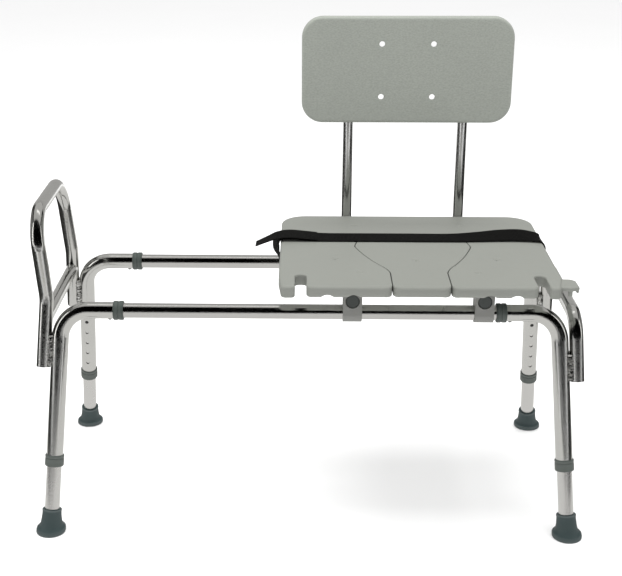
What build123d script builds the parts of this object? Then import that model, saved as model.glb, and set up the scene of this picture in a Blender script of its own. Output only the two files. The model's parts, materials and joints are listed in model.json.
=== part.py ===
"""Sliding bath transfer bench: a four-legged tube frame with two rails, and a
seat with a backrest that rolls along the rails from one end to the other.

Millimetres, +Z up, +X along the rails, +Y to the rear. The origin is on the
floor under the middle of the frame. The seat is parked at the +X end.
"""

import os
from math import radians, sin, tan

from build123d import *

os.makedirs("parts", exist_ok=True)

# ---- rails and their snap buttons
rail_z = 379.0
rail_y = 129.0
rail_od = 25.4
rail_wall = 1.6
rail_end_x = 356.0
stub_end_x = 318.5
rail_button_x = 339.0
rail_button_r = 3.2

# ---- legs: bent tube, leaning out along X and along Y
leg_od = 28.6
leg_wall = 1.5
foot_x = 446.4
foot_y = 214.4
lean_x = 0.0685
lean_y = (foot_y - rail_y) / rail_z
leg_bend_r = 49.0
leg_low_z = 119.5
vent_z = 331.0

# ---- height adjustment
leg_button_z = 250.5
leg_button_r = 3.0
hole_pitch_z = 23.5
hole_count = 5
ext_od = 25.42
ext_wall = 1.4
ext_low_z = 15.0
ext_high_z = 283.5

# ---- collars
rail_collar_in_x = 314.5
rail_collar_width = 17.5
rail_collar_od = 33.0
leg_collar_z = 114.5
leg_collar_length = 20.0
leg_collar_od = 32.6

# ---- rubber feet
foot_flange_d = 51.0
foot_neck_d = 32.0
foot_flange_t = 9.0
foot_height = 39.5

# ---- grab handle on the left, brace on the right
handle_od = 24.0
handle_wall = 1.5
handle_offset = 26.8
handle_low_z = 284.0
handle_kink_z = 398.0
handle_top_x = 459.5
handle_top_y = 120.0
handle_top_z = 542.0
handle_corner_r = 60.0
handle_kink_r = 70.0
crossbar_z = 364.0
crossbar_od = 22.2
brace_low_z = 266.0
brace_top_z = 373.0
brace_top_x = 449.0
brace_corner_r = 44.0
weld_length = 52.0

# ---- seat
seat_x = 183.0
seat_y = -2.75
seat_w = 469.0
seat_d = 398.5
seat_top_z = 450.0
seat_t = 20.0
seat_rim = 4.0
seat_rear_corner_r = 46.0
seat_front_corner_r = 7.0
front_cut_y = -150.0
front_cut_left = 5.0
front_cut_right = 11.5
notch_dx = 197.6
notch_w = 18.5
notch_end_y = -140.5
insert_gap = 1.2
ledge_w = 6.5
ledge_t = 3.0
relief_r = 12.8
relief_z = 423.6
relief_dx = (110.5, 154.0)
drain_d = 4.6

# ---- slide brackets and rollers
bracket_dx = 110.5
bracket_w = 32.0
bracket_half_y = 16.5
roller_r = 11.3
roller_w = 17.5
roller_gap = 0.3
axle_r = 3.0

# ---- backrest and its posts
back_shift = -5.0
post_dx = 106.5
post_y = 208.0
post_od = 19.0
post_wall = 1.5
post_top_z = 752.0
post_low_z = 420.2
post_bend_r = 32.0
post_foot_y = 152.0
back_w = 387.0
back_h = 195.0
back_z = 728.0
back_t = 20.0
back_front_y = 195.0
back_corner_r = 39.0
back_skin = 5.0
back_boss_d = 25.4
back_hole_d = 10.5
back_dish_d = 30.0
back_hole_dx = 94.0
back_hole_dz = 97.0

# ---- safety strap
strap_w = 50.0
strap_t = 2.6
strap_y = 57.0
strap_gap = 0.4
rivet_dx = 204.0

# ---- derived sizes
rail_r = rail_od / 2
leg_r = leg_od / 2
ext_r = ext_od / 2
handle_r = handle_od / 2
seat_low_z = seat_top_z - seat_t
seat_front_y = seat_y - seat_d / 2
seat_rear_y = seat_y + seat_d / 2
roller_z = rail_z + rail_r + roller_gap + roller_r
back_x = seat_x + back_shift
corners = (
    (-1, -1, "front_left"),
    (1, -1, "front_right"),
    (-1, 1, "rear_left"),
    (1, 1, "rear_right"),
)


def leg_point(sx, sy, z):
    """Point on a leg's axis at this height."""
    return Vector(sx * (foot_x - lean_x * z), sy * (foot_y - lean_y * z), z)


def leg_up(sx, sy):
    """Unit vector up a leg's axis."""
    return (leg_point(sx, sy, 1) - leg_point(sx, sy, 0)).normalized()


def leg_inward(sx, sy):
    """Unit vector square to a leg's axis, towards the opposite rail."""
    up = leg_up(sx, sy)
    side = Vector(0, -sy, 0)
    return (side - up * side.dot(up)).normalized()


def beside_leg(sx, sy, z):
    """Point on the axis of the tube that is welded outside a leg."""
    return leg_point(sx, sy, z) + Vector(sx * handle_offset, 0, 0)


def bend(before, at, after, radius):
    """Start, middle and end of the arc that rounds a corner."""
    u = (before - at).normalized()
    v = (after - at).normalized()
    half = radians(u.get_angle(v) / 2)
    run = radius / tan(half)
    across = (u + v).normalized()
    middle = at + across * (radius / sin(half) - radius)
    return at + u * run, middle, at + v * run


def tube_path(points, radii):
    """Lines and arcs through these points, rounded at the inner ones."""
    here = points[0]
    for i, radius in enumerate(radii, start=1):
        start, middle, end = bend(points[i - 1], points[i], points[i + 1], radius)
        Line(here, start)
        ThreePointArc(start, middle, end)
        here = end
    Line(here, points[-1])


def ring(outer_d, wall):
    """A tube's cross-section, in the sketch that is open."""
    Circle(outer_d / 2)
    Circle(outer_d / 2 - wall, mode=Mode.SUBTRACT)


def keyhole_lines(front_y):
    """Outline of the opening in the seat, closed at front_y."""
    for s in (-1, 1):
        Line((seat_x + s * 48.5, front_y), (seat_x + s * 48.5, -128))
        ThreePointArc(
            (seat_x + s * 48.5, -128),
            (seat_x + s * 54, -109.5),
            (seat_x + s * 64, -91),
        )
        ThreePointArc(
            (seat_x + s * 64, -91),
            (seat_x + s * 86.5, -42),
            (seat_x + s * 101.5, 4),
        )
        ThreePointArc(
            (seat_x + s * 101.5, 4),
            (seat_x + s * 102.8, 13),
            (seat_x + s * 101.3, 22),
        )
        ThreePointArc(
            (seat_x + s * 101.3, 22),
            (seat_x + s * 86, 57),
            (seat_x + s * 50, 75),
        )
    Line((seat_x - 50, 75), (seat_x + 50, 75))
    Line((seat_x - 48.5, front_y), (seat_x + 48.5, front_y))


# ---- legs: stub, bend and leg in one tube, with the row of height holes
for sx, sy, where in corners:
    top = Vector(sx * (foot_x - lean_x * rail_z), sy * rail_y, rail_z)
    stub = Vector(sx * stub_end_x, sy * rail_y, rail_z)
    low = leg_point(sx, sy, leg_low_z)
    with BuildPart() as leg:
        with BuildLine() as leg_path:
            tube_path([stub, top, low], [leg_bend_r])
        with BuildSketch(Plane(stub, z_dir=(sx, 0, 0))):
            ring(leg_od, leg_wall)
        sweep()
        for k in range(hole_count):
            centre = leg_point(sx, sy, leg_button_z - k * hole_pitch_z)
            with Locations(Plane(centre, z_dir=leg_inward(sx, sy)).location):
                Cylinder(
                    leg_button_r + 0.4,
                    22,
                    align=(Align.CENTER, Align.CENTER, Align.MIN),
                    mode=Mode.SUBTRACT,
                )
        button_at = Vector(sx * rail_button_x, sy * rail_y, rail_z)
        with Locations(Plane(button_at, z_dir=(0, 0, -1)).location):
            Cylinder(
                rail_button_r + 0.4,
                20,
                align=(Align.CENTER, Align.CENTER, Align.MIN),
                mode=Mode.SUBTRACT,
            )
        vent = leg_point(sx, sy, vent_z)
        with Locations(Plane(vent, z_dir=(-0.3 * sx, sy, 0)).location):
            Cylinder(
                1.6,
                20,
                align=(Align.CENTER, Align.CENTER, Align.MIN),
                mode=Mode.SUBTRACT,
            )
    leg.part.label = f"leg_{where}"
    export_step(leg.part, f"parts/leg_{where}.step")

# ---- rails, plugged into the stubs
for sy, where in ((-1, "front"), (1, "rear")):
    with BuildPart() as rail:
        with BuildSketch(Plane((-rail_end_x, sy * rail_y, rail_z), z_dir=(1, 0, 0))):
            ring(rail_od, rail_wall)
        extrude(amount=2 * rail_end_x)
        for sx in (-1, 1):
            button_at = Vector(sx * rail_button_x, sy * rail_y, rail_z)
            with Locations(Plane(button_at, z_dir=(0, 0, -1)).location):
                Cylinder(
                    rail_button_r + 0.4,
                    20,
                    align=(Align.CENTER, Align.CENTER, Align.MIN),
                    mode=Mode.SUBTRACT,
                )
    rail.part.label = f"rail_{where}"
    export_step(rail.part, f"parts/rail_{where}.step")

# ---- plastic collars over the rail joints
for sx, sy, where in corners:
    inner = Vector(sx * rail_collar_in_x, sy * rail_y, rail_z)
    step = Vector(sx * (stub_end_x - 0.5), sy * rail_y, rail_z)
    with BuildPart() as rail_collar:
        with BuildSketch(Plane(inner, z_dir=(sx, 0, 0))):
            Circle(rail_collar_od / 2)
            Circle(rail_r + 0.05, mode=Mode.SUBTRACT)
        extrude(amount=rail_collar_width)
        fillet(rail_collar.edges().filter_by(GeomType.CIRCLE).group_by(Edge.length)[-1], 1.8)
        with BuildSketch(Plane(step, z_dir=(sx, 0, 0))):
            Circle(leg_r + 0.05)
        extrude(amount=rail_collar_width, mode=Mode.SUBTRACT)
        groove = Vector(sx * (rail_collar_in_x + rail_collar_width / 2), sy * rail_y, rail_z)
        with BuildSketch(Plane(groove, z_dir=(1, 0, 0))):
            Circle(rail_collar_od / 2 + 1)
            Circle(rail_collar_od / 2 - 0.8, mode=Mode.SUBTRACT)
        extrude(amount=1.4, both=True, mode=Mode.SUBTRACT)
    rail_collar.part.label = f"rail_collar_{where}"
    export_step(rail_collar.part, f"parts/rail_collar_{where}.step")

# ---- plastic collars at the foot of each leg tube
for sx, sy, where in corners:
    base = leg_point(sx, sy, leg_collar_z)
    up = leg_up(sx, sy)
    with BuildPart() as leg_collar:
        with BuildSketch(Plane(base, z_dir=up)):
            Circle(leg_collar_od / 2)
            Circle(ext_r + 0.09, mode=Mode.SUBTRACT)
        extrude(amount=leg_collar_length)
        fillet(leg_collar.edges().filter_by(GeomType.CIRCLE).group_by(Edge.length)[-1], 1.6)
        with BuildSketch(Plane(base + up * 5.0, z_dir=up)):
            Circle(leg_r + 0.05)
        extrude(amount=leg_collar_length, mode=Mode.SUBTRACT)
        with BuildSketch(Plane(base + up * (leg_collar_length - 7.0), z_dir=up)):
            Circle(leg_collar_od / 2 + 1)
            Circle(leg_collar_od / 2 - 0.8, mode=Mode.SUBTRACT)
        extrude(amount=2.4, mode=Mode.SUBTRACT)
    leg_collar.part.label = f"leg_collar_{where}"
    export_step(leg_collar.part, f"parts/leg_collar_{where}.step")

# ---- leg extensions: plain tubes that slide in the legs
for sx, sy, where in corners:
    up = leg_up(sx, sy)
    low = leg_point(sx, sy, ext_low_z)
    high = leg_point(sx, sy, ext_high_z)
    button_at = leg_point(sx, sy, leg_button_z)
    with BuildPart() as extension:
        with BuildSketch(Plane(low, z_dir=up)):
            ring(ext_od, ext_wall)
        extrude(amount=(high - low).length)
        with Locations(Plane(button_at, z_dir=leg_inward(sx, sy)).location):
            Cylinder(
                leg_button_r + 0.4,
                20,
                align=(Align.CENTER, Align.CENTER, Align.MIN),
                mode=Mode.SUBTRACT,
            )
    extension.part.label = f"leg_extension_{where}"
    export_step(extension.part, f"parts/leg_extension_{where}.step")

# ---- rubber feet: flange flat on the floor, flared neck along the leg
for sx, sy, where in corners:
    up = leg_up(sx, sy)
    floor_at = leg_point(sx, sy, 0)
    with BuildPart() as foot:
        with BuildSketch(Plane(floor_at, z_dir=(0, 0, 1))):
            Circle(foot_flange_d / 2)
        extrude(amount=foot_flange_t)
        fillet(foot.edges().filter_by(GeomType.CIRCLE).sort_by(Axis.Z)[-1], 3.5)
        with BuildSketch(Plane(leg_point(sx, sy, foot_flange_t - 1), z_dir=up)):
            Circle(foot_neck_d / 2 + 4)
        extrude(amount=12, taper=16)
        with BuildSketch(Plane(leg_point(sx, sy, foot_flange_t), z_dir=up)):
            Circle(foot_neck_d / 2)
        extrude(amount=foot_height - foot_flange_t - 1)
        with BuildSketch(Plane(leg_point(sx, sy, ext_low_z), z_dir=up)):
            Circle(ext_r + 0.05)
        extrude(amount=foot_height, mode=Mode.SUBTRACT)
        with BuildSketch(Plane(floor_at, z_dir=(0, 0, 1))):
            Circle(20)
            Circle(17.5, mode=Mode.SUBTRACT)
            Circle(12)
            Circle(9.5, mode=Mode.SUBTRACT)
        extrude(amount=1.8, mode=Mode.SUBTRACT)
    foot.part.label = f"foot_{where}"
    export_step(foot.part, f"parts/foot_{where}.step")

# ---- snap buttons and their U springs, in the legs and in the rail ends
for sx, sy, where in corners:
    leg_plane = Plane(
        leg_point(sx, sy, leg_button_z),
        x_dir=leg_up(sx, sy),
        z_dir=leg_inward(sx, sy),
    )
    rail_plane = Plane(
        Vector(sx * rail_button_x, sy * rail_y, rail_z),
        x_dir=(-sx, 0, 0),
        z_dir=(0, 0, -1),
    )

    with BuildPart() as leg_button:
        with BuildSketch(leg_plane.offset(6.9)):
            Circle(4.5)
        extrude(amount=1.3)
        with BuildSketch(leg_plane.offset(8.2)):
            Circle(leg_button_r)
        extrude(amount=8.2)
        tip = leg_button.faces().sort_by(Axis(leg_plane.origin, leg_plane.z_dir))[-1]
        fillet(tip.edges(), 2.2)
    leg_button.part.label = f"leg_button_{where}"
    export_step(leg_button.part, f"parts/leg_button_{where}.step")

    with BuildPart() as rail_button:
        with BuildSketch(rail_plane.offset(8.2)):
            Circle(4.6)
        extrude(amount=1.4)
        with BuildSketch(rail_plane.offset(9.6)):
            Circle(rail_button_r)
        extrude(amount=7.2)
        tip = rail_button.faces().sort_by(Axis(rail_plane.origin, rail_plane.z_dir))[-1]
        fillet(tip.edges(), 2.0)
    rail_button.part.label = f"rail_button_{where}"
    export_step(rail_button.part, f"parts/rail_button_{where}.step")

    with BuildPart() as leg_spring:
        with BuildSketch(leg_plane.offset(5.8)):
            with Locations((8, 0)):
                Rectangle(26, 7)
        extrude(amount=0.8)
        with BuildSketch(leg_plane.offset(-10.4)):
            with Locations((8, 0)):
                Rectangle(26, 7)
        extrude(amount=0.8)
        with BuildSketch(leg_plane.offset(-10.4)):
            with Locations((20.6, 0)):
                Rectangle(0.8, 7)
        extrude(amount=17.0)
    leg_spring.part.label = f"leg_spring_{where}"
    export_step(leg_spring.part, f"parts/leg_spring_{where}.step")

    with BuildPart() as rail_spring:
        with BuildSketch(rail_plane.offset(7.1)):
            with Locations((8, 0)):
                Rectangle(26, 7)
        extrude(amount=0.8)
        with BuildSketch(rail_plane.offset(-10.3)):
            with Locations((8, 0)):
                Rectangle(26, 7)
        extrude(amount=0.8)
        with BuildSketch(rail_plane.offset(-10.3)):
            with Locations((20.6, 0)):
                Rectangle(0.8, 7)
        extrude(amount=18.2)
    rail_spring.part.label = f"rail_spring_{where}"
    export_step(rail_spring.part, f"parts/rail_spring_{where}.step")

# ---- grab handle: one tube from the front left leg, over, to the rear left leg
handle_points = [
    beside_leg(-1, -1, handle_low_z),
    beside_leg(-1, -1, handle_kink_z),
    Vector(-handle_top_x, -handle_top_y, handle_top_z),
    Vector(-handle_top_x, handle_top_y, handle_top_z),
    beside_leg(-1, 1, handle_kink_z),
    beside_leg(-1, 1, handle_low_z),
]
with BuildPart() as left_handle:
    with BuildLine() as handle_path:
        tube_path(
            handle_points,
            [handle_kink_r, handle_corner_r, handle_corner_r, handle_kink_r],
        )
    with BuildSketch(Plane(handle_points[0], z_dir=handle_points[1] - handle_points[0])):
        ring(handle_od, handle_wall)
    sweep()
left_handle.part.label = "left_handle"
export_step(left_handle.part, "parts/left_handle.step")

# ---- crossbar between the handle's uprights, its ends coped to fit them
crossbar_front = beside_leg(-1, -1, crossbar_z)
crossbar_rear = beside_leg(-1, 1, crossbar_z)
with BuildPart() as handle_crossbar:
    with BuildSketch(Plane(crossbar_front, z_dir=(0, 1, 0))):
        ring(crossbar_od, handle_wall)
    extrude(amount=(crossbar_rear - crossbar_front).length)
    for sy, centre in ((-1, crossbar_front), (1, crossbar_rear)):
        with Locations(Plane(centre, z_dir=leg_up(-1, sy)).location):
            Cylinder(handle_r + 0.05, 90, mode=Mode.SUBTRACT)
handle_crossbar.part.label = "handle_crossbar"
export_step(handle_crossbar.part, "parts/handle_crossbar.step")

# ---- low brace on the right
brace_points = [
    beside_leg(1, -1, brace_low_z),
    Vector(brace_top_x, leg_point(1, -1, brace_top_z).Y, brace_top_z),
    Vector(brace_top_x, leg_point(1, 1, brace_top_z).Y, brace_top_z),
    beside_leg(1, 1, brace_low_z),
]
with BuildPart() as right_brace:
    with BuildLine() as brace_path:
        tube_path(brace_points, [brace_corner_r, brace_corner_r])
    with BuildSketch(Plane(brace_points[0], z_dir=brace_points[1] - brace_points[0])):
        ring(handle_od, handle_wall)
    sweep()
right_brace.part.label = "right_brace"
export_step(right_brace.part, "parts/right_brace.step")

# ---- weld beads that join the handle and the brace to the legs
with BuildPart() as weld_beads:
    for sx, sy, where in corners:
        low_z = brace_low_z + 5 if sx > 0 else handle_low_z + 5
        bead_plane = Plane(
            leg_point(sx, sy, low_z) + Vector(sx * leg_r, 0, 0), z_dir=leg_up(sx, sy)
        )
        with BuildSketch(bead_plane):
            RegularPolygon(6.0, 12)
        extrude(amount=weld_length if sx < 0 else weld_length - 8)
    for sx, sy, where in corners:
        leg_plane = Plane(leg_point(sx, sy, 240), z_dir=leg_up(sx, sy))
        with BuildSketch(leg_plane):
            RegularPolygon(leg_r + 0.02, 48, major_radius=False)
        extrude(amount=120, mode=Mode.SUBTRACT)
        tube_plane = Plane(beside_leg(sx, sy, 240), z_dir=leg_up(sx, sy))
        with BuildSketch(tube_plane):
            RegularPolygon(handle_r + 0.02, 48, major_radius=False)
        extrude(amount=120, mode=Mode.SUBTRACT)
weld_beads.part.label = "weld_beads"
export_step(weld_beads.part, "parts/weld_beads.step")

# ---- seat pan: moulded plate with the keyhole, two notches and a hose hook
with BuildPart() as seat_pan:
    with BuildSketch(Plane.XY.offset(seat_low_z)) as pan_outline:
        with Locations((seat_x, seat_y)):
            Rectangle(seat_w, seat_d)
        for s, front_cut in ((-1, front_cut_left), (1, front_cut_right)):
            side_x = seat_x + s * seat_w / 2
            with BuildLine():
                Polyline(
                    (side_x, front_cut_y),
                    (side_x - s * front_cut, seat_front_y),
                    (side_x, seat_front_y),
                    close=True,
                )
            make_face(mode=Mode.SUBTRACT)
        pan_corners = pan_outline.vertices().sort_by(Axis.Y)
        fillet(pan_corners[-2:], seat_rear_corner_r)
        fillet(pan_outline.vertices().sort_by(Axis.Y)[:2], seat_front_corner_r)
        for s in (-1, 1):
            notch_x = seat_x + s * notch_dx
            with Locations((notch_x, (seat_front_y + notch_end_y) / 2 - 10)):
                Rectangle(
                    notch_w,
                    notch_end_y - seat_front_y - notch_w + 20,
                    mode=Mode.SUBTRACT,
                )
            with Locations((notch_x, notch_end_y - notch_w / 2)):
                Circle(notch_w / 2, mode=Mode.SUBTRACT)
        with BuildLine():
            keyhole_lines(seat_front_y - 12)
        make_face(mode=Mode.SUBTRACT)
    extrude(amount=seat_t)
    top_edges = seat_pan.faces().sort_by(Axis.Z)[-1].edges()
    chamfer(top_edges.filter_by(lambda e: e.center().Y > 150), 1.6)
    # ledge that carries the insert
    with BuildSketch(Plane.XY.offset(seat_low_z)):
        with BuildLine():
            keyhole_lines(seat_front_y - 12)
        make_face()
        with BuildSketch(mode=Mode.SUBTRACT):
            with BuildLine():
                keyhole_lines(seat_front_y - 12)
            make_face()
            offset(amount=-ledge_w)
        with Locations((seat_x, seat_front_y + 20)):
            Rectangle(160, 110, mode=Mode.SUBTRACT)
    extrude(amount=ledge_t)
    # way in under the rear edge for each post, holes for its bolt and for the rivets
    for s in (-1, 1):
        with Locations((back_x + s * post_dx, seat_rear_y - 9, seat_low_z + 7.6)):
            Box(post_od + 1.6, 32, 15.6, mode=Mode.SUBTRACT)
        with Locations((back_x + s * post_dx, post_foot_y + 9, seat_low_z + 4)):
            Cylinder(3.05, 8.4, mode=Mode.SUBTRACT)
        with Locations((seat_x + s * rivet_dx, strap_y, seat_low_z + 3)):
            Cylinder(1.95, 6.4, mode=Mode.SUBTRACT)
    # reliefs in the front edge, before the rollers and further out
    for s in (-1, 1):
        for dx in relief_dx:
            with Locations((seat_x + s * dx, seat_front_y, relief_z)):
                Cylinder(relief_r, 48, rotation=(90, 0, 0), mode=Mode.SUBTRACT)
    # drain holes and sunk screw holes
    for s in (-1, 1):
        with Locations((seat_x + s * 138.7, -59.7, seat_top_z)):
            Cylinder(drain_d / 2, 50, mode=Mode.SUBTRACT)
        for screw_y in (-rail_y, rail_y + 5):
            with Locations((seat_x + s * 98.7, screw_y, seat_top_z)):
                Cylinder(4.6, 7.0, mode=Mode.SUBTRACT)
                Cylinder(2.1, 50, mode=Mode.SUBTRACT)
    # hose hook at the right front corner
    hook_x = seat_x + seat_w / 2
    with BuildSketch(Plane.XY.offset(442)):
        with Locations((hook_x + 4, -171)):
            Rectangle(32, 38)
    extrude(amount=6.5)
    with BuildSketch(Plane.XY.offset(432)):
        with Locations((hook_x + 9, -187)):
            Rectangle(6, 6)
    extrude(amount=11)
    with BuildSketch(Plane.XY.offset(438)):
        with Locations((hook_x + 18.5, -171)):
            Rectangle(3, 38)
    extrude(amount=5)
seat_pan.part.label = "seat_pan"
export_step(seat_pan.part, "parts/seat_pan.step")

# ---- lift-out insert that closes the keyhole
insert_low_z = seat_low_z + ledge_t + 0.3
with BuildPart() as seat_insert:
    with BuildSketch(Plane.XY.offset(insert_low_z)):
        with BuildLine():
            keyhole_lines(seat_front_y - 12)
        make_face()
        offset(amount=-insert_gap)
        with Locations((seat_x, seat_front_y - 20)):
            Rectangle(200, 40, mode=Mode.SUBTRACT)
    extrude(amount=seat_top_z - insert_low_z)
    # lip that closes the gap in the seat's front skirt
    with BuildSketch(Plane.XY.offset(seat_low_z)):
        with Locations((seat_x, seat_front_y + seat_rim / 2)):
            Rectangle(97 - 2 * insert_gap, seat_rim)
    extrude(amount=insert_low_z - seat_low_z)
    with Locations((seat_x, -63.7, seat_top_z)):
        Cylinder(drain_d / 2, 30, mode=Mode.SUBTRACT)
seat_insert.part.label = "seat_insert"
export_step(seat_insert.part, "parts/seat_insert.step")

# ---- slide brackets: a block over the rail with a C round it, and a roller well
for sx, sy, where in corners:
    bracket_x = seat_x + sx * bracket_dx
    with BuildPart() as bracket:
        with Locations((bracket_x, sy * rail_y, (rail_z + seat_low_z) / 2)):
            Box(bracket_w, 2 * bracket_half_y, seat_low_z - rail_z)
        with Locations((bracket_x, sy * rail_y, rail_z)):
            Cylinder(bracket_half_y, bracket_w, rotation=(0, 90, 0))
        with Locations((bracket_x, sy * rail_y, rail_z)):
            Cylinder(rail_r + 0.4, bracket_w + 2, rotation=(0, 90, 0), mode=Mode.SUBTRACT)
        # the C is open on its inner side
        with Locations((bracket_x, sy * (rail_y - 14), rail_z - 8)):
            Box(bracket_w + 2, 16, 12, mode=Mode.SUBTRACT)
        # roller well, open outwards and down on to the rail
        with Locations((bracket_x, sy * (rail_y + bracket_half_y - 10), roller_z)):
            Cylinder(roller_r + 0.7, 20.2, rotation=(90, 0, 0), mode=Mode.SUBTRACT)
        with Locations((bracket_x, sy * rail_y, roller_z)):
            Cylinder(axle_r, 60, rotation=(90, 0, 0), mode=Mode.SUBTRACT)
        # screw hole from the seat
        screw_y = -rail_y if sy < 0 else rail_y + 5
        with Locations((seat_x + sx * 98.7, screw_y, seat_low_z - 6)):
            Cylinder(2.1, 12.2, mode=Mode.SUBTRACT)
    bracket.part.label = f"slide_bracket_{where}"
    export_step(bracket.part, f"parts/slide_bracket_{where}.step")

# ---- rollers, closed on their outer face, and their axles
roller_face = rail_y + bracket_half_y - 1.2
roller_cap = 3.0
for sx, sy, where in corners:
    roller_x = seat_x + sx * bracket_dx
    bore_y = roller_face - roller_cap - 30
    with BuildPart() as roller:
        with Locations((roller_x, sy * (roller_face - roller_w / 2), roller_z)):
            Cylinder(roller_r, roller_w, rotation=(90, 0, 0))
        fillet(roller.edges().filter_by(GeomType.CIRCLE), 1.2)
        with Locations((roller_x, sy * bore_y, roller_z)):
            Cylinder(axle_r + 0.05, 60, rotation=(90, 0, 0), mode=Mode.SUBTRACT)
    roller.part.label = f"roller_{where}"
    export_step(roller.part, f"parts/roller_{where}.step")

with BuildPart() as roller_axles:
    for sx, sy, where in corners:
        roller_x = seat_x + sx * bracket_dx
        inner_y = rail_y - bracket_half_y + 0.5
        outer_y = roller_face - roller_cap - 0.4
        with Locations((roller_x, sy * (inner_y + outer_y) / 2, roller_z)):
            Cylinder(axle_r, outer_y - inner_y, rotation=(90, 0, 0))
roller_axles.part.label = "roller_axles"
export_step(roller_axles.part, "parts/roller_axles.step")

# ---- screws that hold the brackets, heads sunk in the seat's top
with BuildPart() as bracket_screws:
    for sx, sy, where in corners:
        screw_y = -rail_y if sy < 0 else rail_y + 5
        with Locations((seat_x + sx * 98.7, screw_y, seat_top_z - 2.6)):
            Cylinder(4.4, 1.6)
        with Locations((seat_x + sx * 98.7, screw_y, seat_top_z - 17)):
            Cylinder(2.0, 30)
bracket_screws.part.label = "bracket_screws"
export_step(bracket_screws.part, "parts/bracket_screws.step")

# ---- backrest panel: plate with a rounded channel behind for each post
back_low_z = back_z - back_h / 2
back_middle_y = back_front_y + back_t / 2
with BuildPart() as backrest:
    with BuildSketch(Plane((back_x, back_front_y, back_z), x_dir=(1, 0, 0), z_dir=(0, -1, 0))):
        RectangleRounded(back_w, back_h, back_corner_r)
    extrude(amount=-back_t)
    fillet(backrest.faces().sort_by(Axis.Y)[0].edges(), 4.0)
    fillet(backrest.faces().sort_by(Axis.Y)[-1].edges(), 3.0)
    for s in (-1, 1):
        with Locations((back_x + s * post_dx, post_y, back_z)):
            Cylinder(back_boss_d / 2, back_h - 9)
    # socket for each post, open below
    for s in (-1, 1):
        with Locations((back_x + s * post_dx, post_y, (back_low_z - 10 + post_top_z) / 2)):
            Cylinder(
                post_od / 2 + 0.05,
                post_top_z - back_low_z + 10.4,
                mode=Mode.SUBTRACT,
            )
        for t in (-1, 1):
            hole_x = back_x + s * back_hole_dx / 2
            hole_z = back_z + t * back_hole_dz / 2
            with Locations((hole_x, back_middle_y, hole_z)):
                Cylinder(back_hole_d / 2, 60, rotation=(90, 0, 0), mode=Mode.SUBTRACT)
            with Locations((hole_x, back_front_y + back_skin + 20, hole_z)):
                Cylinder(back_dish_d / 2, 40, rotation=(90, 0, 0), mode=Mode.SUBTRACT)
backrest.part.label = "backrest"
export_step(backrest.part, "parts/backrest.step")

# ---- backrest posts: down behind the seat and forward under its edge
for sx, where in ((-1, "left"), (1, "right")):
    post_x = back_x + sx * post_dx
    post_points = [
        Vector(post_x, post_y, post_top_z),
        Vector(post_x, post_y, post_low_z),
        Vector(post_x, post_foot_y, post_low_z),
    ]
    with BuildPart() as post:
        with BuildLine() as post_path:
            tube_path(post_points, [post_bend_r])
        with BuildSketch(Plane(post_points[0], z_dir=(0, 0, -1))):
            ring(post_od, post_wall)
        sweep()
        with Locations((post_x, post_foot_y + 9, post_low_z)):
            Cylinder(3.1, 40, mode=Mode.SUBTRACT)
    post.part.label = f"backrest_post_{where}"
    export_step(post.part, f"parts/backrest_post_{where}.step")

with BuildPart() as post_bolts:
    for s in (-1, 1):
        bolt_x = back_x + s * post_dx
        bolt_y = post_foot_y + 9
        with Locations((bolt_x, bolt_y, 423)):
            Cylinder(3.0, 28)
        with BuildSketch(Plane.XY.offset(post_low_z - post_od / 2 - 4.4)):
            with Locations((bolt_x, bolt_y)):
                RegularPolygon(5.6, 6)
        extrude(amount=4.2)
post_bolts.part.label = "post_bolts"
export_step(post_bolts.part, "parts/post_bolts.step")

# ---- safety strap: across the seat, round both side edges and back under
over = strap_gap + strap_t
with BuildPart() as safety_strap:
    strap_plane = Plane(
        (seat_x, strap_y + strap_w / 2, 0), x_dir=(1, 0, 0), z_dir=(0, -1, 0)
    )
    with BuildSketch(strap_plane):
        with Locations((0, seat_low_z + seat_t / 2)):
            RectangleRounded(seat_w + 2 * over, seat_t + 2 * over, 3.2)
            RectangleRounded(
                seat_w + 2 * strap_gap, seat_t + 2 * strap_gap, 0.6, mode=Mode.SUBTRACT
            )
        with Locations((0, seat_low_z)):
            Rectangle(seat_w - 76, 14, mode=Mode.SUBTRACT)
    extrude(amount=strap_w)
    for s in (-1, 1):
        with Locations((seat_x + s * rivet_dx, strap_y, seat_low_z)):
            Cylinder(1.95, 8, mode=Mode.SUBTRACT)
safety_strap.part.label = "safety_strap"
export_step(safety_strap.part, "parts/safety_strap.step")

# ---- rivets that hold the strap's ends under the seat
with BuildPart() as strap_rivets:
    for s in (-1, 1):
        with Locations((seat_x + s * rivet_dx, strap_y, seat_low_z - over - 0.6)):
            Cylinder(5.0, 1.2)
        with Locations((seat_x + s * rivet_dx, strap_y, seat_low_z + 1)):
            Cylinder(1.9, 8)
strap_rivets.part.label = "strap_rivets"
export_step(strap_rivets.part, "parts/strap_rivets.step")
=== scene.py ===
"""Looks of the sliding bath transfer bench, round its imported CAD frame.

Metres, +Z up, +X along the rails, +Y to the rear, as in the CAD model.
"""

import json
from math import atan2, cos, pi, radians, sin, tan

import bmesh
import bpy
from mathutils import Matrix, Vector, noise


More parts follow.
